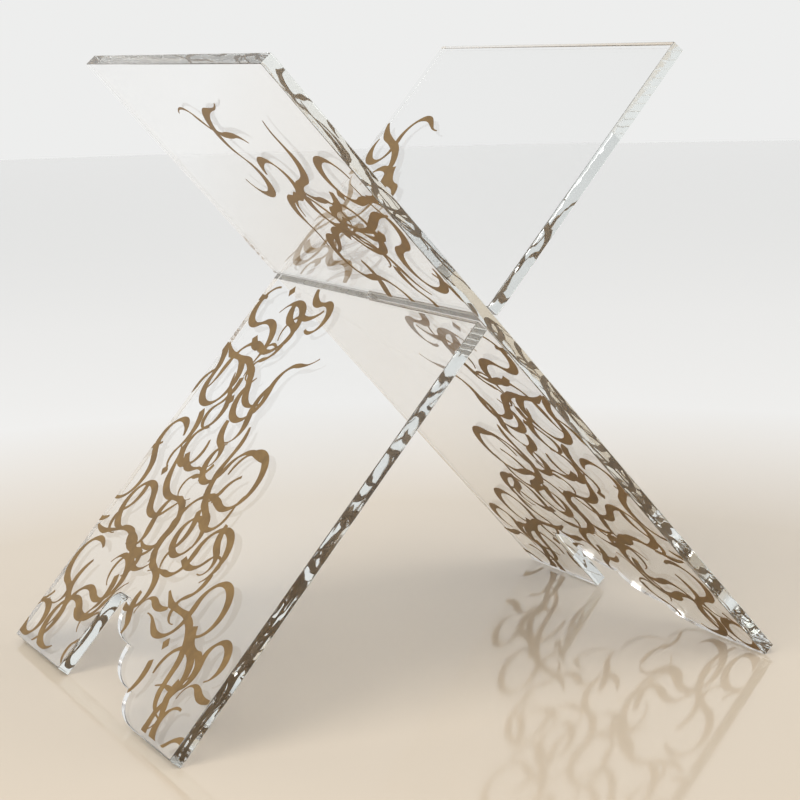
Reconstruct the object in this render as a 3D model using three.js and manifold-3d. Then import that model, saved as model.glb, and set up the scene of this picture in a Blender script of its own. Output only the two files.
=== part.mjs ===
// A book stand of two clear acrylic panels that cross in an X and hold each other by a cross-lap
// joint, with thin gold scrollwork on one face of each.
// Millimetres. X runs across the spread of the feet, Y along the crossing line (the near side is -Y)
// and Z up. The origin is on the floor, in the middle of the footprint.
import * as THREE from "three";
import { mergeVertices } from "three/addons/utils/BufferGeometryUtils.js";
import Module from "manifold-3d";

const wasm = await Module();
wasm.setup();

// Driving dimensions.
const SHEET = 8; // thickness of the acrylic
const PANEL_WIDTH = 270; // along the crossing line
const PANEL_LENGTH = 478; // from a panel's top end to its foot end
const REST_LENGTH = 189.5; // from the top end down to the crossing line
const LEAN = THREE.MathUtils.degToRad(48.7); // slope of each panel above the floor
const SLOT_PLAY = 0.3; // left each side of a panel in the other's slot

// The foot arch, from a panel's near edge and up from its foot end.
const ARCH_NEAR = 54; // width of the near foot
const ARCH_FAR = 185; // where the far foot begins
const ARCH_HEIGHT = 58;
const ARCH_ROUND = 14; // corner at the top of the far wall
const ARCH_LOBES = 3; // scallops down the near side of the arch
const ARCH_CREST = 23; // from the far wall back to the top of the highest scallop
const ARCH_DRAFT = 2; // how far the far wall leans out towards the foot
const LOBE_RISE = 1.2; // above 1, each scallop climbs more than the one before it
const LOBE_SWELL = 0.04; // how soft a scallop's shoulder is, as a share of its width

// The gold film.
const FILM = 0.3;
const FILM_GAP = 0.15; // between the film and the sheet
const FILM_INSET = 0.8; // from an edge of the sheet
const FOOT_MARGIN = 3; // from the foot end
const CROSSING_MARGIN = 7; // from the crossing line, clear of the other panel
const SMALLEST_FILM = 4; // mm3, below which a loose scrap is dropped

// The pen that the scrollwork is drawn with.
const THICK = 6.6;
const THIN = 1.9;
const TIP = 0.9;
const HEAD = 20; // length over which a stroke swells from its start
const PEN_ANGLE = THREE.MathUtils.degToRad(40);
const TAPER = 26; // length over which a stroke thins to its tip
const TURN_STEP = THREE.MathUtils.degToRad(25);
const RUN_STEPS = 6; // steps of a stroke that go into one outline
const NIB_START = 0.3; // a stroke's width where the pen lands, as a share of its full width
const HOOK_START = 0.75; // the same for a hook, which lands with a heavy head

const FOOT_LENGTH = PANEL_LENGTH - REST_LENGTH;
const CROSSING_HEIGHT = FOOT_LENGTH * Math.sin(LEAN) + (SHEET / 2) * Math.cos(LEAN);
const CROSSING_ANGLE = Math.PI - 2 * LEAN;
const SLOT =
  SHEET / Math.sin(CROSSING_ANGLE) + SHEET / Math.tan(CROSSING_ANGLE) + 2 * SLOT_PLAY;
const NEAR = -PANEL_WIDTH / 2;
const FAR = PANEL_WIDTH / 2;

// Scrollwork: [across from one side edge, down from the top end, radius, heading, hand].
// A ring is placed by its centre and a sweep by its start. Hand 1 turns left first, and -1 right.
// Small hooks fill the ground between the rings, in staggered rows over the given width.
const LOWER = {
  rings: [
    [20, 216, 15, 180, 1], [58, 228, 19, 60, -1], [95, 216, 11, 330, 1], [30, 274, 18, 10, -1],
    [84, 278, 17, 220, 1], [18, 322, 15, 110, 1], [58, 320, 14, 300, -1], [100, 324, 14, 200, 1],
    [142, 328, 20, 90, -1], [36, 370, 17, 200, -1], [84, 372, 18, 330, 1], [126, 372, 13, 250, -1],
    [166, 376, 18, 30, 1], [22, 416, 17, 140, 1], [70, 416, 16, 60, -1], [114, 412, 14, 300, 1],
    [206, 402, 17, 350, 1], [46, 456, 18, 220, -1], [212, 444, 18, 100, -1], [246, 424, 12, 20, 1],
    [246, 466, 12, 170, 1], [10, 462, 12, 60, -1],
  ],
  sweeps: [[4, 248, 34, 320, 1], [108, 296, 26, 300, -1], [4, 392, 32, 340, 1], [150, 404, 30, 320, 1]],
  lozenges: [[38, 202], [40, 342], [104, 392], [186, 430], [126, 344], [60, 284]],
  hooks: { first: 210, rows: 9, width: 112 },
};
const UPPER_A = {
  rings: [
    [152, 86, 17, 250, -1], [112, 88, 15, 100, 1], [82, 106, 17, 300, 1], [28, 84, 16, 80, -1],
    [60, 122, 19, 160, 1], [106, 150, 17, 20, -1], [20, 150, 16, 260, 1],
  ],
  sweeps: [[112, 60, 24, 40, -1], [4, 108, 34, 10, -1], [36, 172, 28, 30, 1]],
  lozenges: [[44, 96], [84, 130]],
  hooks: { first: 94, rows: 3, width: 112 },
};
const UPPER_B = {
  rings: [[20, 84, 14, 250, 1], [42, 120, 18, 60, -1], [66, 156, 15, 150, 1], [22, 160, 15, 310, -1]],
  sweeps: [[4, 66, 30, 300, 1]],
  lozenges: [[46, 172]],
  hooks: { first: 100, rows: 3, width: 70 },
};
const LOZENGE = 8; // across its corners

const HOOK_ROW = 29; // from one row of hooks to the next
const HOOK_COLUMN = 43;
const PRINT_SPREADS_AT = 300; // down from the top end, where the print starts to widen
const PRINT_SPREAD = 1.15; // how much it widens for each millimetre further down

const degrees = THREE.MathUtils.degToRad;

// A value that runs evenly between low and high as k counts up, in no visible order.
function spread(k, low, high) {
  return low + (high - low) * ((k * 0.618034) % 1);
}

// The closed solid of a three.js geometry.
function solidOf(geometry) {
  const plain = geometry.index ? geometry.toNonIndexed() : geometry;
  plain.deleteAttribute("normal");
  plain.deleteAttribute("uv");
  const merged = mergeVertices(plain, 1e-4);
  return new wasm.Manifold(
    new wasm.Mesh({
      numProp: 3,
      vertProperties: Float32Array.from(merged.attributes.position.array),
      triVerts: Uint32Array.from(merged.index.array),
    }),
  );
}

// A three.js geometry of a solid.
function geometryOf(solid) {
  const mesh = solid.getMesh();
  const geometry = new THREE.BufferGeometry();
  geometry.setAttribute("position", new THREE.BufferAttribute(mesh.vertProperties, 3));
  geometry.setIndex(new THREE.BufferAttribute(mesh.triVerts, 1));
  return geometry.toNonIndexed();
}

function slab(shape, depth, curveSegments = 6) {
  return new THREE.ExtrudeGeometry(shape, { depth, curveSegments, bevelEnabled: false });
}

// A panel's face, in its own frame: x across it from the middle, y up it from the crossing line.
// inset moves every edge inwards, and slotSide is NEAR or FAR, or 0 for no slot.
function panelShape(slotSide, inset = 0, footInset = 0) {
  const top = REST_LENGTH - inset;
  const foot = footInset - FOOT_LENGTH;
  const near = NEAR + inset;
  const far = FAR - inset;
  const slotEnd = (-Math.sign(slotSide) * SLOT_PLAY) / 2;
  const shape = new THREE.Shape();
  shape.moveTo(near, top);
  if (slotSide === NEAR) {
    shape.lineTo(near, SLOT / 2);
    shape.lineTo(slotEnd, SLOT / 2);
    shape.lineTo(slotEnd, -SLOT / 2);
    shape.lineTo(near, -SLOT / 2);
  }
  shape.lineTo(near, foot);
  traceArch(shape, foot, inset);
  shape.lineTo(far, foot);
  if (slotSide === FAR) {
    shape.lineTo(far, -SLOT / 2);
    shape.lineTo(slotEnd, -SLOT / 2);
    shape.lineTo(slotEnd, SLOT / 2);
    shape.lineTo(far, SLOT / 2);
  }
  shape.lineTo(far, top);
  shape.closePath();
  return shape;
}

// The foot arch: scallops that climb from the near foot to the crest, then the far wall back down.
function traceArch(shape, foot, inset) {
  const crest = ARCH_FAR - ARCH_CREST;
  const stepX = (crest - ARCH_NEAR) / ARCH_LOBES;
  const lobeX = (k) => NEAR + ARCH_NEAR - inset + k * stepX;
  const lobeY = (k) => ARCH_HEIGHT * (k / ARCH_LOBES) ** LOBE_RISE + inset - FOOT_LENGTH;
  shape.lineTo(lobeX(0), foot);
  for (let k = 1; k <= ARCH_LOBES; k++) {
    const low = Math.max(lobeY(k - 1), foot);
    shape.quadraticCurveTo(lobeX(k) - LOBE_SWELL * stepX, low, lobeX(k), lobeY(k));
  }
  const crown = lobeY(ARCH_LOBES);
  const wall = NEAR + ARCH_FAR + inset;
  shape.lineTo(wall - ARCH_ROUND, crown);
  shape.quadraticCurveTo(wall - ARCH_DRAFT, crown, wall - ARCH_DRAFT, crown - ARCH_ROUND);
  shape.lineTo(wall, foot);
}

// The centre line of a pen stroke: arcs that follow on from each other, each [turn, radius] in
// degrees and millimetres, as points that hold their heading and the length run so far.
function centreLine(start, heading, arcs) {
  const line = [{ at: start.clone(), heading, run: 0 }];
  for (const [turn, radius] of arcs) {
    const total = degrees(turn);
    const steps = Math.ceil(Math.abs(total) / TURN_STEP);
    const bend = total / steps;
    const chord = 2 * radius * Math.sin(Math.abs(bend) / 2);
    for (let i = 0; i < steps; i++) {
      const last = line.at(-1);
      const along = last.heading + bend / 2;
      const step = new THREE.Vector2(Math.cos(along), Math.sin(along)).multiplyScalar(chord);
      line.push({
        at: last.at.clone().add(step),
        heading: last.heading + bend,
        run: last.run + Math.abs(bend) * radius,
      });
    }
  }
  return line;
}

// The pen's width where the stroke runs at this heading: thick and thin by direction, swelling from
// a fine start and thinning to a hairline tip.
function penWidth({ heading, run }, length, landing) {
  const slant = Math.abs(Math.sin(heading - PEN_ANGLE));
  const body = THIN + (THICK - THIN) * slant ** 1.2;
  const swell = Math.min(1, landing + run / HEAD, (length - run) / TAPER);
  return Math.max(TIP, body * swell);
}

// The solids of one stroke. A stroke that curls over itself is laid in short overlapping runs,
// because one outline can't cross itself.
function strokeSolids(start, heading, arcs, landing = NIB_START) {
  const line = centreLine(start, heading, arcs);
  const length = line.at(-1).run;
  const side = line.map((p) => {
    const half = penWidth(p, length, landing) / 2;
    const out = new THREE.Vector2(-Math.sin(p.heading), Math.cos(p.heading)).multiplyScalar(half);
    return [p.at.clone().add(out), p.at.clone().sub(out)];
  });
  const solids = [];
  for (let i = 0; i < side.length - 1; i += RUN_STEPS) {
    const part = side.slice(i, i + RUN_STEPS + 2);
    if (part.length < 2) break;
    const outline = [...part.map((s) => s[1]), ...part.map((s) => s[0]).reverse()];
    solids.push(solidOf(slab(new THREE.Shape(outline), FILM)));
  }
  return solids;
}

// A ring that unwinds into an S-shaped tail.
function ringSolids([across, down, radius, turned, hand], k) {
  const heading = degrees(turned);
  const centre = new THREE.Vector2(NEAR + across, REST_LENGTH - down);
  const out = new THREE.Vector2(Math.sin(heading), -Math.cos(heading));
  const start = centre.addScaledVector(out, hand * radius);
  const arcs = [
    [hand * spread(k, 210, 300), radius],
    [-hand * spread(k + 3, 90, 150), radius * spread(k + 1, 0.9, 1.5)],
    [hand * 40, radius * spread(k + 2, 1.2, 2)],
  ];
  return strokeSolids(start, heading, arcs);
}

// A long S that ties the rings together.
function sweepSolids([across, down, radius, turned, hand], k) {
  const start = new THREE.Vector2(NEAR + across, REST_LENGTH - down);
  const arcs = [
    [hand * 50, radius],
    [-hand * spread(k, 70, 110), radius * 1.1],
    [hand * spread(k + 2, 90, 150), radius * 0.6],
  ];
  return strokeSolids(start, degrees(turned), arcs);
}

// A short hook with a heavy head, curling back on itself at the end.
function hookSolids([across, down], k) {
  const start = new THREE.Vector2(NEAR + across, REST_LENGTH - down);
  const hand = k % 2 ? 1 : -1;
  const radius = spread(k + 1, 8, 12);
  const arcs = [
    [hand * spread(k, 50, 90), radius * 2],
    [-hand * spread(k + 2, 100, 190), radius],
  ];
  return strokeSolids(start, degrees(spread(k, 200, 330)), arcs, HOOK_START);
}

// Where the hooks of one print start.
function hookPlaces({ first, rows, width }) {
  const places = [];
  for (let row = 0; row < rows; row++) {
    const down = first + row * HOOK_ROW;
    const reach = width + PRINT_SPREAD * Math.max(0, down - PRINT_SPREADS_AT);
    const shift = row % 2 ? 0.75 : 0.25;
    for (let column = 0; (column + shift) * HOOK_COLUMN < Math.min(reach, PANEL_WIDTH); column++) {
      places.push([(column + shift) * HOOK_COLUMN, down]);
    }
  }
  return places;
}

function lozengeSolid([across, down]) {
  const x = NEAR + across;
  const y = REST_LENGTH - down;
  const r = LOZENGE / 2;
  const corners = [[r, 0], [0, r], [-r, 0], [0, -r]];
  const shape = new THREE.Shape(corners.map(([dx, dy]) => new THREE.Vector2(x + dx, y + dy)));
  return solidOf(slab(shape, FILM));
}

// All the film on one panel, trimmed to the sheet and kept clear of the crossing, largest first.
// side is NEAR or FAR: the side edge that the artwork is measured from.
function filmBodies(side, parts) {
  const strokes = parts.flatMap(({ rings, sweeps, lozenges, hooks }) => [
    ...rings.flatMap(ringSolids),
    ...sweeps.flatMap(sweepSolids),
    ...lozenges.map(lozengeSolid),
    ...hookPlaces(hooks).flatMap(hookSolids),
  ]);
  const joined = strokes.reduce((all, one) => all.add(one));
  const artwork = side === NEAR ? joined : joined.mirror([1, 0, 0]);
  const sheet = solidOf(
    slab(panelShape(0, FILM_INSET, FOOT_MARGIN), 3 * FILM).translate(0, 0, -FILM),
  );
  const crossing = solidOf(new THREE.BoxGeometry(2 * PANEL_WIDTH, 2 * CROSSING_MARGIN, 9 * FILM));
  return artwork
    .intersect(sheet)
    .subtract(crossing)
    .decompose()
    .filter((body) => body.volume() > SMALLEST_FILM)
    .sort((a, b) => b.volume() - a.volume());
}

const acrylic = new THREE.MeshStandardMaterial({
  name: "clear_acrylic",
  color: 0xf2f6f5,
  roughness: 0.04,
  metalness: 0,
  transparent: true,
  opacity: 0.3,
});
const gold = new THREE.MeshStandardMaterial({
  name: "gold_film",
  color: 0xa58250,
  roughness: 0.42,
  metalness: 0.7,
});

// One panel with its film, standing at the given angle from +X. The film lies on its -Z face.
function panel(letter, slotSide, angle, artSide, art) {
  const group = new THREE.Group();
  const sheet = new THREE.Mesh(slab(panelShape(slotSide), SHEET), acrylic.clone());
  sheet.name = "panel_" + letter;
  sheet.position.z = -SHEET / 2;
  group.add(sheet);
  filmBodies(artSide, art).forEach((body, k) => {
    const film = new THREE.Mesh(geometryOf(body), gold.clone());
    film.name = "gold_film_" + letter + "_" + (k + 1);
    film.position.z = -SHEET / 2 - FILM_GAP - FILM;
    group.add(film);
  });
  const across = new THREE.Vector3(0, 1, 0);
  const up = new THREE.Vector3(Math.cos(angle), 0, Math.sin(angle));
  const out = new THREE.Vector3().crossVectors(across, up);
  group.quaternion.setFromRotationMatrix(new THREE.Matrix4().makeBasis(across, up, out));
  return group;
}

const stand = new THREE.Group();
stand.add(panel("a", FAR, Math.PI - LEAN, NEAR, [LOWER, UPPER_A]));
stand.add(panel("b", NEAR, LEAN, FAR, [LOWER, UPPER_B]));
stand.position.z = CROSSING_HEIGHT;

export default stand;
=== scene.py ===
"""The looks of the book stand: two clear acrylic panels with gold scrollwork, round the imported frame.

Every size and place comes from the CAD nodes. Metres, in the frame's own axes.
"""

import math

import bmesh
import bpy
from mathutils import Matrix, Vector
from mathutils.geometry import delaunay_2d_cdt, intersect_point_line


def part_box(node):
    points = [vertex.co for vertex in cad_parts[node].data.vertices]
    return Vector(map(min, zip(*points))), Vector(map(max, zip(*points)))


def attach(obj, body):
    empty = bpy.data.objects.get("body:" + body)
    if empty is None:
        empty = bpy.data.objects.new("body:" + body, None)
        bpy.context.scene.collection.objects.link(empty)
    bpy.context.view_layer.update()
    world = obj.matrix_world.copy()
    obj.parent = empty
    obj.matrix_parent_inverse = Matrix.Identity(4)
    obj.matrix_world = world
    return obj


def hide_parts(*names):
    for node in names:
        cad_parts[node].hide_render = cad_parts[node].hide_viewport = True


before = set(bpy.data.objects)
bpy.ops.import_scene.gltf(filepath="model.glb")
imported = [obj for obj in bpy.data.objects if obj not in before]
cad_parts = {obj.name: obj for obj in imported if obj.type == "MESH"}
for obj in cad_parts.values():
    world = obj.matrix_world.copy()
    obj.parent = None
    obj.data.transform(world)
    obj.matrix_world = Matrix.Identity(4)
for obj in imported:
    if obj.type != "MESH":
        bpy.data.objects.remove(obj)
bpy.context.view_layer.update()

MM = 0.001

# The camera: where it stands, how it is turned, in degrees from looking level along +Y, and its
# sensor and lens in millimetres.
CAMERA_AT = Vector((-0.5396, -1.0838, 0.3680))
CAMERA_YAW = 27.08
CAMERA_PITCH = -9.99
CAMERA_ROLL = -1.44
SENSOR = 36.0
LENS = 91.5
SEES_FROM = 0.05
SEES_TO = 50

# How a flat CAD outline is refined.
WELD = 0.001 * MM  # vertices this near to each other are one
FACING = 0.9  # the printed-side face's normal points this far out along the panel's own axis
PANEL_CORNER = math.radians(50)  # a turn sharper than this stays a corner
FILM_CORNER = math.radians(42)
PANEL_STRAIGHT = 16 * MM  # a side longer than this stays straight
FILM_STRAIGHT = 30 * MM
CURVE_STEPS = 4  # pieces that each side of a curve is drawn in
MITRE_LIMIT = 2.0  # how far a sharp corner may move, in draw-ins
SHORTEST = 0.02 * MM  # shorter sides are merged
CROSSING_REACHES = (1 * MM, 3 * MM, 6 * MM)  # how widely sides are kept straight, at each try
FILL_INSIDE = 1  # the triangulation's option that leaves out what lies outside

# How the surfaces are shaded.
FLAT = 0.999  # a face whose normal is this near to the sheet's own is one of its flat faces
UPRIGHT = 0.01  # and one whose normal is this far off is a wall
SMOOTH_UNDER = math.radians(32)
ROUND_STEPS = (0, 30, 60, 90)  # degrees round an arris

# The pieces.
POLISH = 0.45 * MM  # radius of the polished arris of a sheet
SLOT_END_NEAR = 1.0 * MM  # the closed end of a slot lies this near to the middle of the panel
FILM_DEPTH = 0.06 * MM  # how far the print is keyed into the sheet's face
FILM_STANDS = 0.12 * MM  # how far it stands proud of it
FILM_ROUND = 0.04 * MM
SIDES = {"a": "side_a", "b": "side_b"}  # each panel's letter and the body that it rides on
SHEET_COORDS = "sheet"  # name of the attribute that holds the panel's own coordinates

# The materials.
ACRYLIC_IOR = 1.491
FACE_TINT = (0.998, 1.0, 0.999)
EDGE_TINT = (0.885, 0.915, 0.905)
SAWN_TINT = (0.80, 0.80, 0.78)
GOLD_DARK = (0.165, 0.090, 0.021)
GOLD = (0.280, 0.166, 0.055)
GOLD_LIGHT = (0.390, 0.250, 0.096)
FOIL_SHARE = 0.25  # how much of the gold's mottling is the foil's fine grain

# The stage and its light. Distances are from the middle of the stand.
FLOOR_RADIUS = 6.0
FLOOR_SIDES = 96
# Near the stand the floor has its own warm colour, lightened as painted light to lift the shade under the
# stand. Further out it is painted paler than a real floor, as painted light standing in for the key light
# that falls off there.
FLOOR_WARM_AND_PAINTED_LIGHT = (0.66, 0.56, 0.437)
FLOOR_PALE_PAINTED_LIGHT = (0.88, 0.872, 0.86)
WARM_WITHIN = 0.40
PALE_BEYOND = 0.85
WALL_TOP = 0.35  # sine of the elevation where the pale walls end
WALL_COLOUR = (0.85, 0.853, 0.847)
CEILING_FROM = 0.75  # sine of the elevation where the dimmer ceiling begins
CEILING_COLOUR = (0.52, 0.525, 0.53)
LIGHTS_AIM = (0, 0, 0.15)
LIGHT_SIZE = 2.6
LIGHT_COLOUR = (1.0, 0.98, 0.95)
KEY_AT = (-2.2, -1.0, 2.6)
KEY_WATTS = 84
FILL_AT = (2.4, -1.2, 2.4)
FILL_WATTS = 20

# Light bounces many times inside a clear sheet before it leaves.
BOUNCES = 40
BRIGHTEST_BOUNCE = 6.0  # a brighter one is cut down to this, against speckles


# ---------------------------------------------------------------- camera


def make_camera():
    data = bpy.data.cameras.new("camera")
    data.sensor_width = SENSOR
    data.lens = LENS
    data.clip_start = SEES_FROM
    data.clip_end = SEES_TO
    camera = bpy.data.objects.new("camera", data)
    turn = (
        Matrix.Rotation(-math.radians(CAMERA_YAW), 4, "Z")
        @ Matrix.Rotation(math.radians(90 + CAMERA_PITCH), 4, "X")
        @ Matrix.Rotation(math.radians(CAMERA_ROLL), 4, "Z")
    )
    camera.matrix_world = Matrix.Translation(CAMERA_AT) @ turn
    bpy.context.scene.collection.objects.link(camera)
    bpy.context.scene.camera = camera


# ---------------------------------------------------------------- node helpers


class Nodes:
    """A material's node tree, with short calls that add and link its nodes."""

    def __init__(self, name):
        self.material = bpy.data.materials.new(name)
        self.material.use_nodes = True
        self.tree = self.material.node_tree
        self.tree.nodes.clear()
        self.output = self.add("ShaderNodeOutputMaterial")
        self.shader = self.add("ShaderNodeBsdfPrincipled")
        self.link(self.shader.outputs["BSDF"], self.output.inputs["Surface"])

    def add(self, kind, **settings):
        node = self.tree.nodes.new(kind)
        for key, value in settings.items():
            setattr(node, key, value)
        return node

    def link(self, source, target):
        self.tree.links.new(source, target)

    def set(self, **values):
        for key, value in values.items():
            self.shader.inputs[key.replace("_", " ")].default_value = value

    def drive(self, key, source):
        self.link(source, self.shader.inputs[key])

    def sheet_coords(self):
        """The position in the panel's own axes: across, up and out."""
        return self.add("ShaderNodeAttribute", attribute_name=SHEET_COORDS).outputs["Vector"]

    def noise(self, place, grain, detail, roughness=0.5, distortion=0.0):
        """Noise of about grain cycles to the metre: across, up and out."""
        mapping = self.add("ShaderNodeMapping")
        mapping.inputs["Scale"].default_value = grain
        self.link(place, mapping.inputs["Vector"])
        node = self.add("ShaderNodeTexNoise")
        node.inputs["Scale"].default_value = 1.0
        node.inputs["Detail"].default_value = detail
        node.inputs["Roughness"].default_value = roughness
        node.inputs["Distortion"].default_value = distortion
        self.link(mapping.outputs["Vector"], node.inputs["Vector"])
        return node.outputs["Fac"]

    def ranged(self, value, source, target):
        """The value, moved from the source range to the target range and kept inside it."""
        node = self.add("ShaderNodeMapRange")
        for key, number in zip(("From Min", "From Max", "To Min", "To Max"), (*source, *target)):
            node.inputs[key].default_value = number
        self.link(value, node.inputs["Value"])
        return node.outputs["Result"]

    def maths(self, operation, first, second):
        node = self.add("ShaderNodeMath", operation=operation)
        for socket, value in zip(node.inputs, (first, second)):
            if isinstance(value, (int, float)):
                socket.default_value = value
            else:
                self.link(value, socket)
        return node.outputs["Value"]

    def ramp(self, value, stops):
        node = self.add("ShaderNodeValToRGB")
        elements = node.color_ramp.elements
        while len(elements) < len(stops):
            elements.new(1.0)
        for element, (position, colour) in zip(elements, stops):
            element.position = position
            element.color = (*colour, 1.0)
        self.link(value, node.inputs["Fac"])
        return node.outputs["Color"]

    def bump(self, height, strength, distance):
        """A bump on the shader's normal, distance deep where its strength is 1."""
        node = self.add("ShaderNodeBump")
        node.inputs["Strength"].default_value = strength
        node.inputs["Distance"].default_value = distance
        self.link(height, node.inputs["Height"])
        self.drive("Normal", node.outputs["Normal"])


# ---------------------------------------------------------------- materials


def clear_plastic(name, tint):
    m = Nodes(name)
    m.set(Base_Color=(*tint, 1), IOR=ACRYLIC_IOR, Transmission_Weight=1.0)
    return m


def clear_acrylic():
    """Cast acrylic with polished faces: clear, with a faint haze of handling and hairline scratches."""
    m = clear_plastic("clear_acrylic", FACE_TINT)
    place = m.sheet_coords()
    smear = m.noise(place, (14, 5, 14), detail=5, roughness=0.6, distortion=0.8)
    m.drive("Roughness", m.ranged(smear, (0.45, 0.75), (0.0, 0.035)))
    scratch = m.noise(place, (30, 900, 30), detail=2)
    m.bump(scratch, strength=0.03, distance=0.02 * MM)
    return m.material


def polished_edge():
    """The flame-polished edge of the sheet, with the slight ripple that the flame leaves."""
    m = clear_plastic("polished_edge", EDGE_TINT)
    ripple = m.noise(m.sheet_coords(), (60, 60, 160), detail=2)
    m.drive("Roughness", m.ranged(ripple, (0.4, 0.8), (0.01, 0.06)))
    m.bump(ripple, strength=0.25, distance=0.3 * MM)
    return m.material


def sawn_slot():
    """The inside of the half-lap slot, left as the saw cut it: frosted, with fine saw lines."""
    m = clear_plastic("sawn_slot", SAWN_TINT)
    lines = m.noise(m.sheet_coords(), (1400, 1400, 60), detail=3)
    m.drive("Roughness", m.ranged(lines, (0.3, 0.7), (0.22, 0.5)))
    m.bump(lines, strength=0.5, distance=0.15 * MM)
    return m.material


def gold_print():
    """Antique gold print: satin metal, mottled, with a fine foil grain and rubbed spots."""
    m = Nodes("gold_film")
    m.set(Metallic=0.72, Specular_IOR_Level=0.4)
    place = m.sheet_coords()
    mottle = m.noise(place, (85, 85, 85), detail=6, roughness=0.62, distortion=0.3)
    foil = m.noise(place, (2600, 700, 2600), detail=4, roughness=0.6)
    tone = m.maths(
        "ADD", m.maths("MULTIPLY", mottle, 1 - FOIL_SHARE), m.maths("MULTIPLY", foil, FOIL_SHARE)
    )
    m.drive("Base Color", m.ramp(tone, [(0.25, GOLD_DARK), (0.50, GOLD), (0.75, GOLD_LIGHT)]))
    m.drive("Roughness", m.ranged(tone, (0.3, 0.7), (0.36, 0.52)))
    m.bump(foil, strength=0.25, distance=0.05 * MM)
    return m.material


# ---------------------------------------------------------------- outlines


def panel_axes(letter):
    """A panel's own axes, as a matrix: across, up its slope, and out on the side that is printed."""
    panel = "panel_" + letter
    out = max(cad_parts[panel].data.polygons, key=lambda p: p.area).normal.copy()
    centre = sum(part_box(panel), Vector()) / 2
    print_centre = sum(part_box(f"gold_film_{letter}_1"), Vector()) / 2
    if (print_centre - centre).dot(out) < 0:
        out.negate()
    up = out.cross(Vector((0, 1, 0)))
    if up.z < 0:
        up.negate()
    axes = Matrix((up.cross(out), up, out)).transposed().to_4x4()
    return Matrix.Translation(centre) @ axes


def outline(node, axes):
    """The closed outlines of a flat node's printed-side face, in the panel's own axes."""
    bm = bmesh.new()
    bm.from_mesh(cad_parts[node].data)
    bmesh.ops.transform(bm, matrix=axes.inverted(), verts=bm.verts)
    bmesh.ops.remove_doubles(bm, verts=bm.verts, dist=WELD)
    bm.normal_update()
    following = {}
    for face in bm.faces:
        if face.normal.z < FACING:
            continue
        for corner in face.loops:
            if any(f.normal.z < FACING for f in corner.edge.link_faces):
                following.setdefault(corner.vert.index, []).append(corner.link_loop_next.vert.index)
    points = [v.co.xy.copy() for v in bm.verts]
    bm.free()
    loops = []
    while following:
        start = here = min(following, key=lambda k: len(following[k]))
        loop = []
        while not loop or here != start:
            loop.append(points[here])
            there = following[here][0]
            # Where two loops touch, the left-most way keeps them apart.
            if len(following[here]) > 1 and len(loop) > 1:
                arriving = loop[-1] - loop[-2]
                there = min(following[here], key=lambda k: arriving.angle_signed(points[k] - loop[-1]))
            following[here].remove(there)
            if not following[here]:
                del following[here]
            here = there
        loops.append([p for i, p in enumerate(loop) if (p - loop[i - 1]).length > SHORTEST])
    return parted(loops)


def parted(loops):
    """The loops, each drawn back a little from any point that it shares with another."""
    seen = set()
    made = []
    for loop in loops:
        apart = drawn_in(loop, 2 * SHORTEST)
        made.append([away if tuple(p) in seen else p for p, away in zip(loop, apart)])
        seen.update(tuple(p) for p in loop)
    return made


def smoothed(loop, corner, straight, kept):
    """The loop with a smooth curve through its points. A turn sharper than corner stays sharp, and a
    side that is longer than straight, or whose number is in kept, stays straight."""
    count = len(loop)
    sides = [loop[(i + 1) % count] - loop[i] for i in range(count)]
    tangents = []
    for i in range(count):
        before, after = sides[i - 1], sides[i]
        if abs(before.angle_signed(after, 0)) > corner:
            tangents.append(None)
        elif before.length > straight:
            tangents.append(before.normalized())
        elif after.length > straight:
            tangents.append(after.normalized())
        else:
            tangents.append((before.normalized() + after.normalized()).normalized())
    made = []
    for i, side in enumerate(sides):
        made.append(loop[i])
        leave, arrive = tangents[i], tangents[(i + 1) % count]
        if i in kept or side.length > straight or (leave is None and arrive is None):
            continue
        if leave is None:
            last = arrive * side.length
            first = 2 * side - last
        elif arrive is None:
            first = leave * side.length
            last = 2 * side - first
        else:
            first, last = leave * side.length, arrive * side.length
        # A cubic between the two points that leaves and arrives along these tangents.
        for step in range(1, CURVE_STEPS):
            t = step / CURVE_STEPS
            made.append(
                loop[i]
                + side * (3 * t**2 - 2 * t**3)
                + first * (t**3 - 2 * t**2 + t)
                + last * (t**3 - t**2)
            )
    return made


def filled(loops):
    """Triangles that fill the loops, which have the material on their left, as numbers of the loops'
    points in order. Also the places where the loops cross."""
    points = [point for loop in loops for point in loop]
    edges = []
    for loop in loops:
        first = len(edges)
        edges += [(first + i, first + (i + 1) % len(loop)) for i in range(len(loop))]
    found, _, faces, sources, _, _ = delaunay_2d_cdt(points, edges, [], FILL_INSIDE, 0.0)
    crossings = [found[k] for k, source in enumerate(sources) if not source]
    if crossings:
        return [], crossings
    beside = {}
    for face in faces:
        corners = [sources[k][0] for k in face]
        for side in zip(corners, corners[1:] + corners[:1]):
            beside[side] = tuple(corners)
    walls = set(edges)
    triangles = set()
    pending = [beside[wall] for wall in walls if wall in beside]
    while pending:
        corners = pending.pop()
        if corners in triangles:
            continue
        triangles.add(corners)
        for one, other in zip(corners, corners[1:] + corners[:1]):
            if (one, other) not in walls and (other, one) in beside:
                pending.append(beside[other, one])
    return sorted(triangles), []


def refined(loops, corner, straight):
    """The loops made smooth. Where smooth curves would cross, the sides nearby stay straight."""
    kept = [set() for _ in loops]
    for reach in CROSSING_REACHES:
        made = [smoothed(loop, corner, straight, k) for loop, k in zip(loops, kept)]
        crossings = filled(made)[1]
        if not crossings:
            return made
        for at in crossings:
            for loop, k in zip(loops, kept):
                for i, start in enumerate(loop):
                    end = loop[(i + 1) % len(loop)]
                    share = intersect_point_line(at, start, end)[1]
                    gap = (at - start.lerp(end, min(max(share, 0), 1))).length
                    if gap < reach:
                        k.add(i)
    return loops


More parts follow.
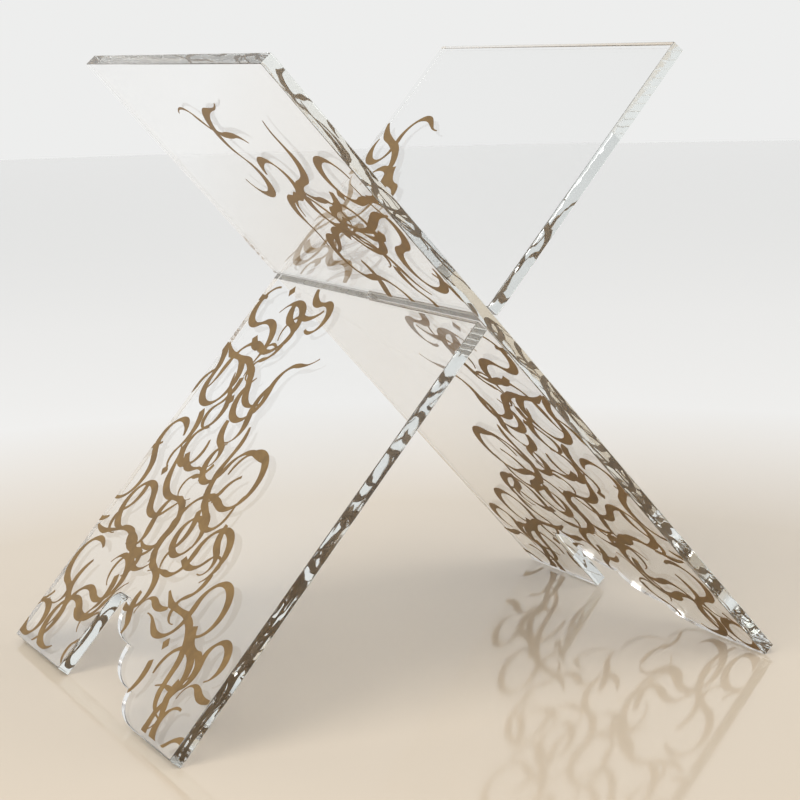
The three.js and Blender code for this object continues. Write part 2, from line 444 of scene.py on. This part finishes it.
def drawn_in(loop, distance):
    """The loop moved towards the material, which lies on its left."""
    made = []
    for i, point in enumerate(loop):
        before = (point - loop[i - 1]).normalized()
        after = (loop[(i + 1) % len(loop)] - point).normalized()
        normals = Vector((-before.y, before.x)), Vector((-after.y, after.x))
        middle = (normals[0] + normals[1]).normalized()
        reach = 1 / max(middle.dot(normals[0]), 1 / MITRE_LIMIT)
        made.append(point + middle * distance * reach)
    return made


def rounded(low, high, radius_low, radius_high):
    """Levels (height, draw-in) up a wall whose ends are quarter rounds. A radius of 0 leaves it square."""
    levels = []
    for end, radius, way in ((low, radius_low, 1), (high, radius_high, -1)):
        turns = [math.radians(step) for step in ROUND_STEPS[::-way]] if radius else [math.radians(90)]
        for turn in turns:
            levels.append((end + way * radius * (1 - math.sin(turn)), radius * (1 - math.cos(turn))))
    return levels


def shade(bm):
    """Smooth along curved walls and round their ends, and crisp where a flat face or wall ends."""
    for face in bm.faces:
        face.smooth = abs(face.normal.z) < FLAT
    for edge in bm.edges:
        one, other = (abs(face.normal.z) for face in edge.link_faces)
        wall_ends = min(one, other) < UPRIGHT < max(one, other)
        edge.smooth = not wall_ends and edge.calc_face_angle() < SMOOTH_UNDER


def solid(name, loops, levels, axes, materials, material_of=None):
    """A closed solid between stacked copies of the outlines, standing in the row frame. Its ends are
    left square where a drawn-in outline would cross itself."""
    if any(filled([drawn_in(loop, inset) for loop in loops])[1] for _, inset in levels if inset):
        levels = [(levels[0][0], 0.0), (levels[-1][0], 0.0)]
    bm = bmesh.new()
    coords = bm.verts.layers.float_vector.new(SHEET_COORDS)
    rings = []
    for height, inset in levels:
        level = []
        for loop in loops:
            ring = []
            for point in drawn_in(loop, inset) if inset else loop:
                vert = bm.verts.new((*point, height))
                vert[coords] = vert.co
                ring.append(vert)
            level.append(ring)
        rings.append(level)
    for below, above in zip(rings, rings[1:]):
        for low, high in zip(below, above):
            for i in range(len(low)):
                j = (i + 1) % len(low)
                bm.faces.new((low[i], low[j], high[j], high[i]))
    for level in (rings[0], rings[-1]):
        verts = [vert for ring in level for vert in ring]
        for triangle in filled([[vert.co.xy for vert in ring] for ring in level])[0]:
            bm.faces.new([verts[k] for k in triangle])
    bmesh.ops.recalc_face_normals(bm, faces=bm.faces)
    if material_of:
        for face in bm.faces:
            face.material_index = material_of(face)
    shade(bm)
    bm.transform(axes)
    mesh = bpy.data.meshes.new(name)
    bm.to_mesh(mesh)
    bm.free()
    for material in materials:
        mesh.materials.append(material)
    piece = bpy.data.objects.new(name, mesh)
    bpy.context.scene.collection.objects.link(piece)
    return piece


# ---------------------------------------------------------------- pieces


def make_sheet(letter, axes, materials):
    """One acrylic panel, with polished edges and a sawn slot."""
    node = "panel_" + letter
    loops = refined(outline(node, axes), PANEL_CORNER, PANEL_STRAIGHT)
    half = max(abs((axes.inverted() @ v.co).z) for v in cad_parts[node].data.vertices)
    slot_middle, slot_half = slot_extent(loops[0])
    side_edge = max(abs(point.x) for point in loops[0])

    def material_of(face):
        if abs(face.normal.z) > FACING:
            return 0
        middle = face.calc_center_median()
        in_slot = abs(middle.y - slot_middle) < slot_half and abs(face.normal.z) < UPRIGHT
        on_side_edge = side_edge - abs(middle.x) < POLISH
        return 2 if in_slot and not on_side_edge else 1

    piece = solid(
        "clear_sheet_" + letter,
        loops,
        rounded(-half, half, POLISH, POLISH),
        axes,
        materials,
        material_of,
    )
    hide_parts(node)
    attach(piece, SIDES[letter])


def slot_extent(loop):
    """How far up the panel the middle of its slot is, and how far the slot reaches either way."""
    heights = [point.y for point in loop if abs(point.x) < SLOT_END_NEAR]
    middle = (min(heights) + max(heights)) / 2
    return middle, max(heights) - middle + POLISH


def make_print(letter, node, axes, material):
    """One piece of the gold print, keyed into the sheet's face."""
    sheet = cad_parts["panel_" + letter].data
    face = max((axes.inverted() @ v.co).z for v in sheet.vertices)
    loops = refined(outline(node, axes), FILM_CORNER, FILM_STRAIGHT)
    levels = rounded(face - FILM_DEPTH, face + FILM_STANDS, 0, FILM_ROUND)
    piece = solid(node.replace("gold_film", "scrollwork"), loops, levels, axes, [material])
    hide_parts(node)
    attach(piece, SIDES[letter])


# ---------------------------------------------------------------- stage and light


def make_floor():
    """A pale floor. Under the object it has its own warm colour, lightened there as painted light against
    the stand's shade. Further out it is painted paler, as painted light where the key light falls off.
    """
    bm = bmesh.new()
    bmesh.ops.create_circle(bm, cap_ends=True, segments=FLOOR_SIDES, radius=FLOOR_RADIUS)
    mesh = bpy.data.meshes.new("floor")
    bm.to_mesh(mesh)
    bm.free()
    floor = bpy.data.objects.new("floor", mesh)
    bpy.context.scene.collection.objects.link(floor)
    m = Nodes("floor")
    place = m.add("ShaderNodeTexCoord").outputs["Object"]
    length = m.add("ShaderNodeVectorMath", operation="LENGTH")
    m.link(place, length.inputs[0])
    # Painted light: the warm centre is lightened against the stand's shade, and the floor is painted paler
    # further out where the key light falls off.
    out = m.ranged(length.outputs["Value"], (WARM_WITHIN, PALE_BEYOND), (0.0, 1.0))
    m.drive("Base Color", m.ramp(out, [(0.0, FLOOR_WARM_AND_PAINTED_LIGHT), (1.0, FLOOR_PALE_PAINTED_LIGHT)]))
    m.set(Roughness=0.08, Specular_IOR_Level=0.5)
    mesh.materials.append(m.material)


def make_world():
    """A pale studio: bright round the horizon and dimmer overhead, so that clear edges show."""
    world = bpy.data.worlds.new("studio")
    world.use_nodes = True
    bpy.context.scene.world = world
    tree = world.node_tree
    direction = tree.nodes.new("ShaderNodeTexCoord").outputs["Generated"]
    split = tree.nodes.new("ShaderNodeSeparateXYZ")
    tree.links.new(direction, split.inputs["Vector"])
    ramp = tree.nodes.new("ShaderNodeValToRGB")
    tree.links.new(split.outputs["Z"], ramp.inputs["Fac"])
    for element, position, colour in zip(
        ramp.color_ramp.elements, (WALL_TOP, CEILING_FROM), (WALL_COLOUR, CEILING_COLOUR)
    ):
        element.position = position
        element.color = (*colour, 1)
    tree.links.new(ramp.outputs["Color"], tree.nodes["Background"].inputs["Color"])


def make_soft_box(name, at, watts):
    """A big square soft box, turned to the stand."""
    data = bpy.data.lights.new(name, "AREA")
    data.shape = "SQUARE"
    data.size = LIGHT_SIZE
    data.energy = watts
    data.color = LIGHT_COLOUR
    lamp = bpy.data.objects.new(name, data)
    lamp.location = at
    lamp.rotation_euler = (Vector(LIGHTS_AIM) - Vector(at)).to_track_quat("-Z", "Y").to_euler()
    bpy.context.scene.collection.objects.link(lamp)


make_camera()
acrylic = [clear_acrylic(), polished_edge(), sawn_slot()]
gold = gold_print()
for letter in SIDES:
    axes = panel_axes(letter)
    make_sheet(letter, axes, acrylic)
    for node in sorted(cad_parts):
        if node.startswith(f"gold_film_{letter}_"):
            make_print(letter, node, axes, gold)
make_floor()
make_world()
make_soft_box("key", KEY_AT, KEY_WATTS)
make_soft_box("fill", FILL_AT, FILL_WATTS)

scene = bpy.context.scene
scene.view_settings.view_transform = "Standard"
scene.cycles.max_bounces = BOUNCES
scene.cycles.transmission_bounces = BOUNCES
scene.cycles.glossy_bounces = BOUNCES
scene.cycles.sample_clamp_indirect = BRIGHTEST_BOUNCE

bpy.context.view_layer.update()
